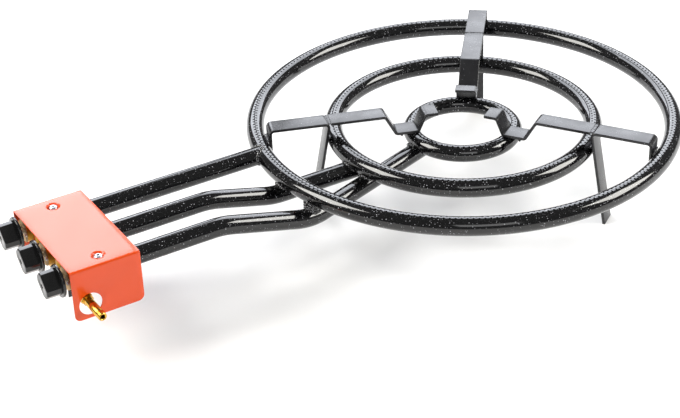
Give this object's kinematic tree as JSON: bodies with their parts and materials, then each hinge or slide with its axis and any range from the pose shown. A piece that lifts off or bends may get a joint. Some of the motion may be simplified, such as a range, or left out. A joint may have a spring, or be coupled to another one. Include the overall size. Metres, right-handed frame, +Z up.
{
  "type": "paella gas burner",
  "caption": "Concentric ported gas rings with pan supports, fed by bent pipes from a tap box with push-and-turn knobs and a hose tail.",
  "frame": {"origin": "middle of the overall length and width, on the floor that the legs stand on", "axes": "+X from the knobs to the rings, along the feed pipes; +Z up; +Y to the far side of the box, away from the hose tail"},
  "size_m": [0.956, 0.5999, 0.137],
  "materials": {
    "enamel": "speckled gloss enamel",
    "orange_paint": "gloss paint",
    "brass": "machined",
    "steel": "plated",
    "black_plastic": "moulded gloss"
  },
  "bodies": {
    "frame": {"outer_ring": "enamel", "middle_ring": "enamel", "inner_ring": "enamel", "outer_pipe": "enamel", "middle_pipe": "enamel", "inner_pipe": "enamel", "left_outer_bracket": "enamel", "right_outer_bracket": "enamel", "rear_outer_bracket": "enamel", "left_inner_bracket": "enamel", "right_inner_bracket": "enamel", "rear_inner_bracket": "enamel", "cross_bar": "enamel", "rail_hangers": "enamel", "cover": "orange_paint", "gas_rail": "brass", "hose_nozzle": "brass", "rail_plug": "brass", "outer_tap_body": "brass", "outer_bonnet": "brass", "outer_injector": "brass", "middle_tap_body": "brass", "middle_bonnet": "brass", "middle_injector": "brass", "inner_tap_body": "brass", "inner_bonnet": "brass", "inner_injector": "brass", "cover_screws": "steel", "bonnet_screws": "steel"},
    "outer_valve": {"outer_tap_plug": "steel", "outer_spring": "steel"},
    "outer_control": {"outer_spindle": "steel", "outer_knob": "black_plastic"},
    "middle_valve": {"middle_tap_plug": "steel", "middle_spring": "steel"},
    "middle_control": {"middle_spindle": "steel", "middle_knob": "black_plastic"},
    "inner_valve": {"inner_tap_plug": "steel", "inner_spring": "steel"},
    "inner_control": {"inner_spindle": "steel", "inner_knob": "black_plastic"}
  },
  "joints": [
    {"name": "outer_tap_turn", "type": "hinge", "parent": "frame", "child": "outer_valve", "pos_m": [-0.428, 0.065, 0.113], "axis": [-1, 0, 0], "range_deg": [0, 150]},
    {"name": "outer_knob_push", "type": "slide", "parent": "outer_valve", "child": "outer_control", "axis": [1, 0, 0], "range_m": [0, 0.003], "stiffness_N_per_m": 1000, "springref_m": -0.002, "deforming": ["outer_spring"]},
    {"name": "middle_tap_turn", "type": "hinge", "parent": "frame", "child": "middle_valve", "pos_m": [-0.428, 0, 0.113], "axis": [-1, 0, 0], "range_deg": [0, 150]},
    {"name": "middle_knob_push", "type": "slide", "parent": "middle_valve", "child": "middle_control", "axis": [1, 0, 0], "range_m": [0, 0.003], "stiffness_N_per_m": 1000, "springref_m": -0.002, "deforming": ["middle_spring"]},
    {"name": "inner_tap_turn", "type": "hinge", "parent": "frame", "child": "inner_valve", "pos_m": [-0.428, -0.065, 0.113], "axis": [-1, 0, 0], "range_deg": [0, 150]},
    {"name": "inner_knob_push", "type": "slide", "parent": "inner_valve", "child": "inner_control", "axis": [1, 0, 0], "range_m": [0, 0.003], "stiffness_N_per_m": 1000, "springref_m": -0.002, "deforming": ["inner_spring"]}
  ]
}
